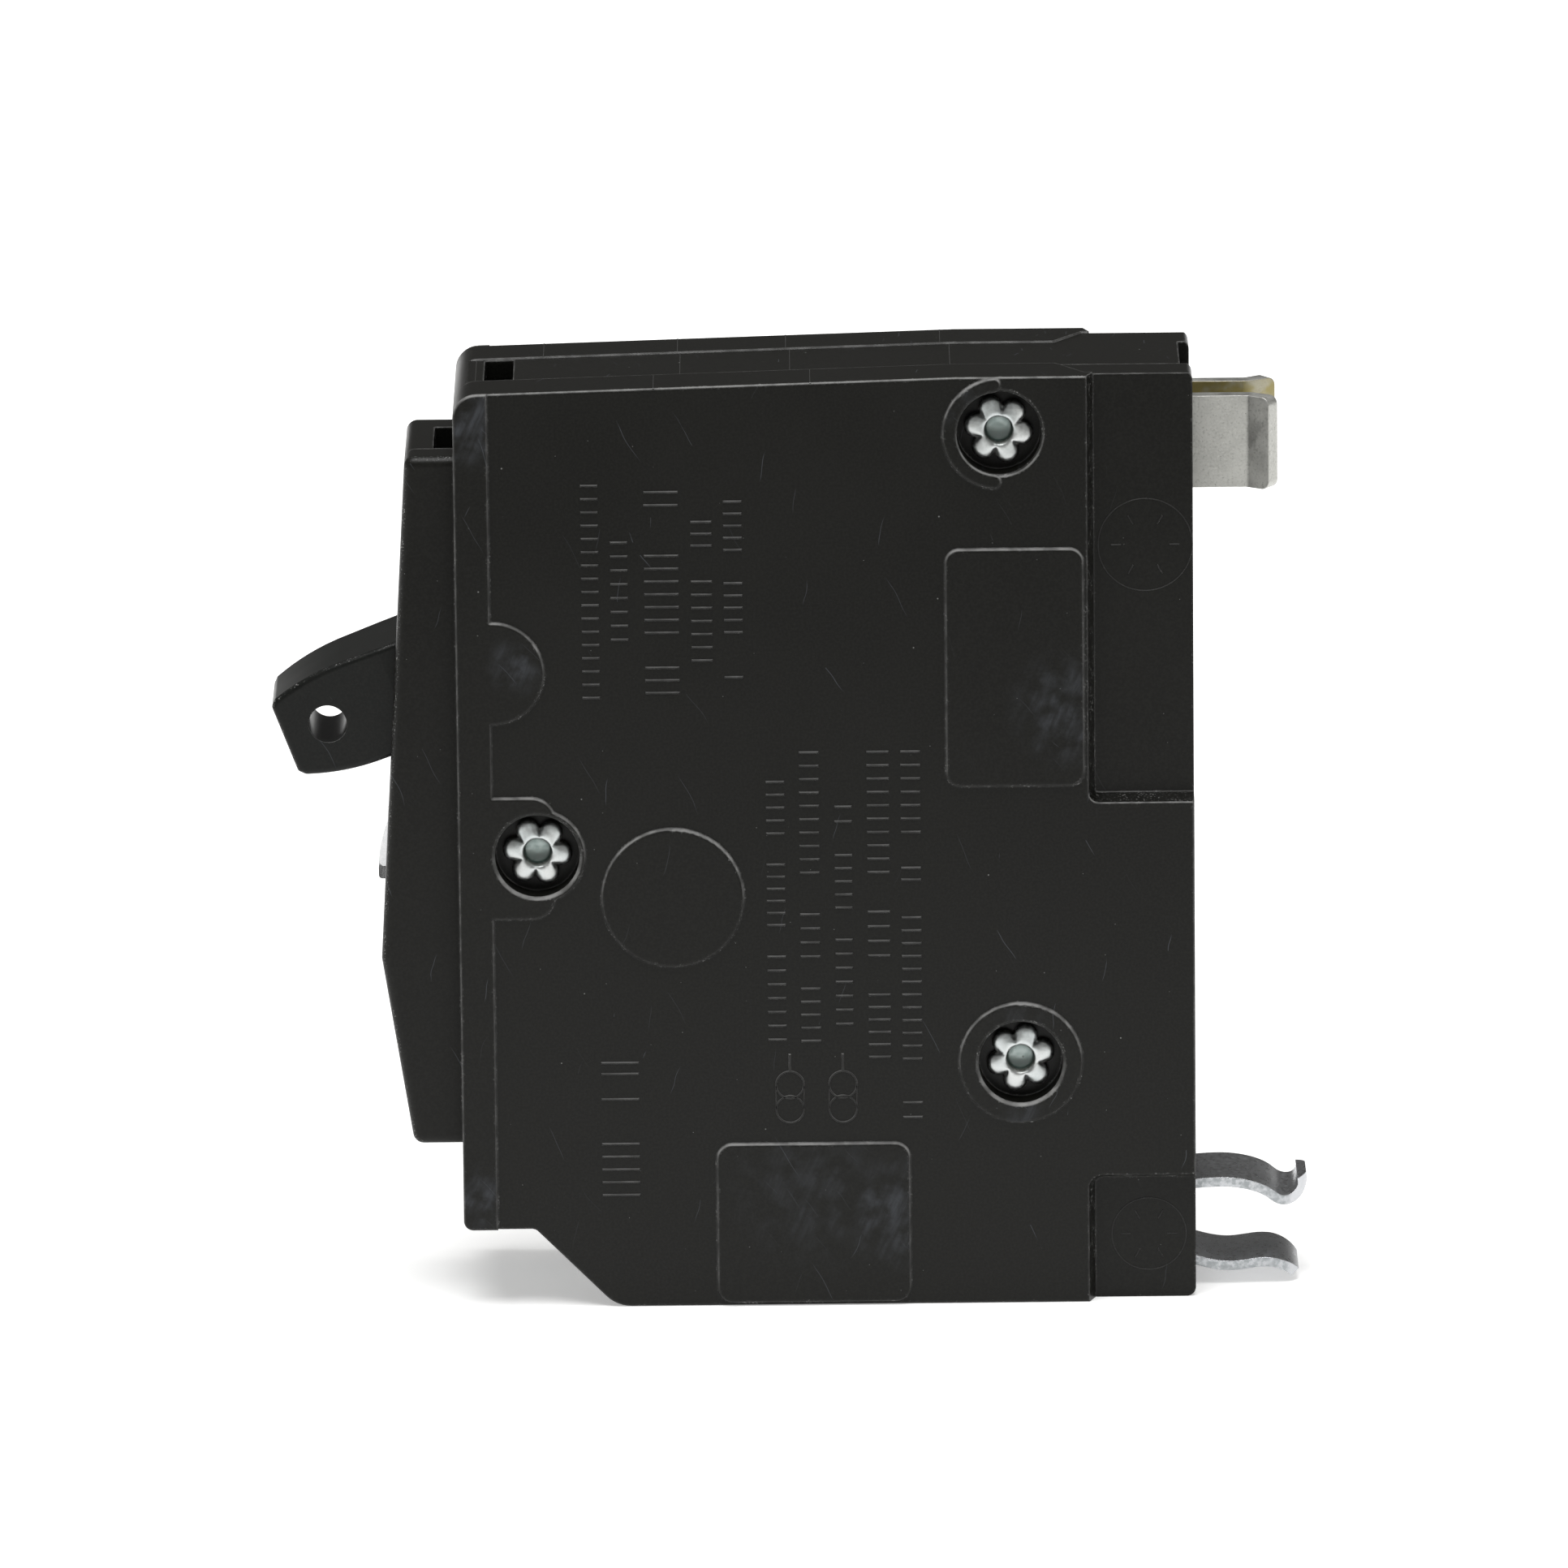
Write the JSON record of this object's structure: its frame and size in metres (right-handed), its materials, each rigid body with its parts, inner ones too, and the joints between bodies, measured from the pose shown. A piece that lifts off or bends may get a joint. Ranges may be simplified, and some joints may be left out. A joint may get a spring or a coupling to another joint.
{
  "type": "circuit breaker",
  "caption": "Narrow plug-in miniature circuit breaker with a tilting toggle handle, a spring jaw for a bus stab and a sprung rail clip, in a riveted black case.",
  "frame": {"origin": "centre of the bounding box at the load end, on which the breaker stands", "axes": "+X from the handle towards the plug-in side, +Z from the load end to the line end, +Y across the module width to the rivet-head side"},
  "size_m": [0.0858, 0.019, 0.0791],
  "materials": {
    "case": "satin moulded thermoset",
    "handle": "satin moulded plastic",
    "lens": "clear moulded plastic",
    "flag": "coloured plastic",
    "zinc_steel": "zinc plated",
    "tinned_copper": "matte tin plate",
    "copper": "bare copper",
    "silver": "silver alloy",
    "steel": "plain steel",
    "fibre": "vulcanised fibre"
  },
  "bodies": {
    "case": {"base_case": "case", "cover_case": "case", "case_rivets": "zinc_steel", "trip_window_lens": "lens", "line_jaw": "tinned_copper", "rail_clip": "zinc_steel", "line_strap": "copper", "stationary_contact": "silver", "contact_arm_pin": "steel", "arc_plates": "steel", "arc_liner": "fibre", "toggle_spring": "steel", "bimetal": "copper", "magnet_yoke": "zinc_steel", "armature_spring": "steel", "shunt_braid": "copper", "load_terminal": "tinned_copper", "calibration_screw": "steel"},
    "handle_body": {"handle": "handle"},
    "contact_arm_body": {"contact_arm": "copper", "moving_contact": "silver"},
    "trip_lever_body": {"trip_lever": "steel", "trip_flag": "flag"},
    "armature_body": {"armature": "zinc_steel"},
    "clamp_body": {"clamp_plate": "zinc_steel"},
    "screw_body": {"terminal_screw": "zinc_steel"}
  },
  "joints": [
    {"name": "handle_turn", "type": "hinge", "parent": "case", "child": "handle_body", "pos_m": [-0.0245, 0, 0.0544], "axis": [0, 1, 0], "range_deg": [0, 42]},
    {"name": "contact_arm_turn", "type": "hinge", "parent": "case", "child": "contact_arm_body", "pos_m": [-0.0119, 0, 0.0544], "axis": [0, 1, 0], "range_deg": [-16.9, 0], "deforming": ["toggle_spring", "shunt_braid"]},
    {"name": "trip_lever_turn", "type": "hinge", "parent": "case", "child": "trip_lever_body", "pos_m": [-0.02093, 0, 0.03883], "axis": [0, 1, 0], "range_deg": [0, 26], "deforming": ["toggle_spring", "armature_spring"]},
    {"name": "armature_turn", "type": "hinge", "parent": "case", "child": "armature_body", "pos_m": [0.0019, 0, 0.017], "axis": [0, 1, 0], "range_deg": [0, 6.1], "deforming": ["armature_spring"]},
    {"name": "clamp_slide", "type": "slide", "parent": "case", "child": "clamp_body", "axis": [1, 0, 0], "range_m": [0, 0.0041]},
    {"name": "screw_turn", "type": "hinge", "parent": "clamp_body", "child": "screw_body", "pos_m": [-0.0227, 0, 0.0106], "axis": [1, 0, 0], "range_deg": [0, 1860]}
  ],
  "couplings": [
    {"joint": "contact_arm_turn", "follows": "handle_turn", "ratio": -0.4},
    {"joint": "armature_turn", "follows": "trip_lever_turn", "ratio": 0.23077},
    {"joint": "screw_turn", "follows": "clamp_slide", "rad_per_m": 7915.8}
  ]
}
